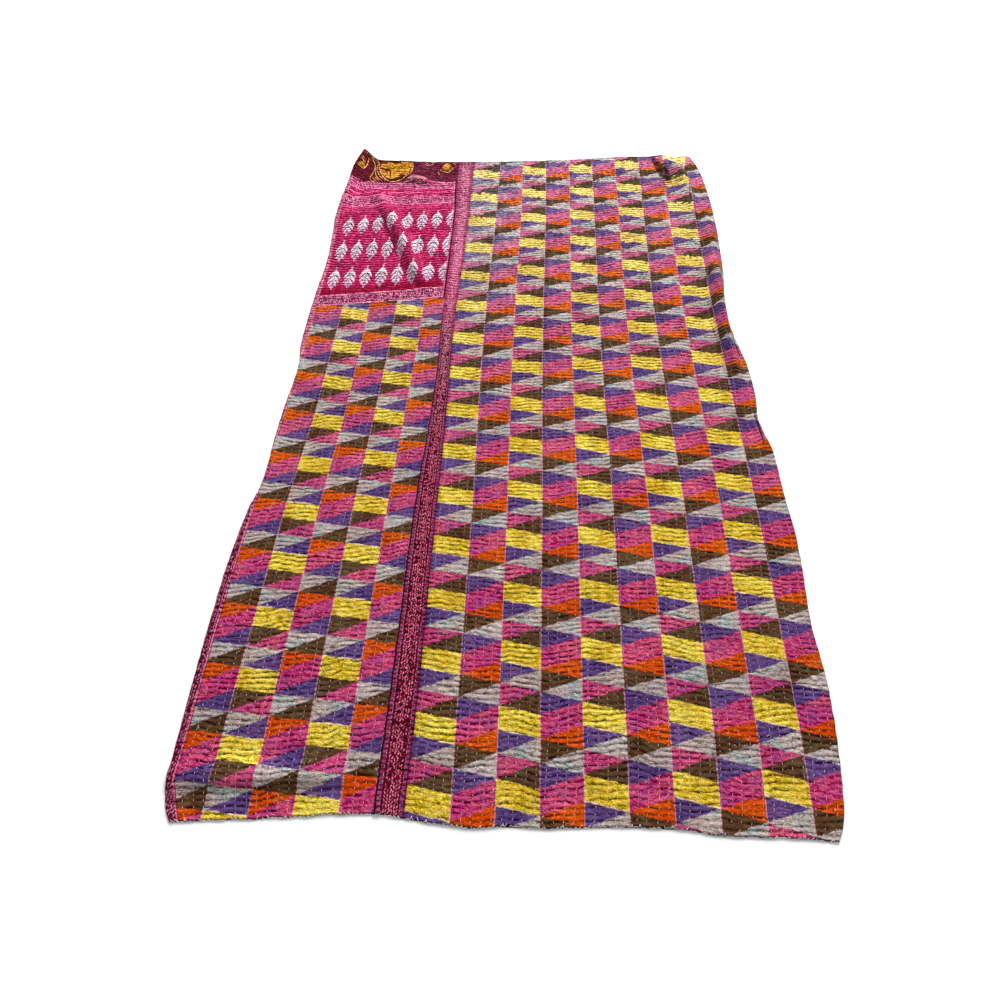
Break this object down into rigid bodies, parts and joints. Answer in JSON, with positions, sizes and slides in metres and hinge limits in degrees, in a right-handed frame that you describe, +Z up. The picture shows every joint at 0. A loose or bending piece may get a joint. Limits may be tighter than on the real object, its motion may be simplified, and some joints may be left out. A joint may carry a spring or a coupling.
{
  "type": "kantha quilt",
  "caption": "Twin-size kantha quilt of layered old sari cotton in rows of running stitch, lying flat with soft folds; harlequin print, a leaf-patterned end and a woven border.",
  "frame": {"origin": "on the surface the quilt lies on, under the middle of its outline", "axes": "+X to the right across the quilt, +Y along it from the foot end to the head end, +Z up"},
  "size_m": [1.5619, 2.302, 0.0519],
  "materials": {
    "left_cloth": "printed cotton, washed soft and matt",
    "right_cloth": "printed cotton, washed soft and matt",
    "patch_cloth": "dark printed cotton, matt"
  },
  "bodies": {
    "root": {"left_panel": "left_cloth", "right_panel": "right_cloth", "head_patch": "patch_cloth"}
  },
  "joints": []
}
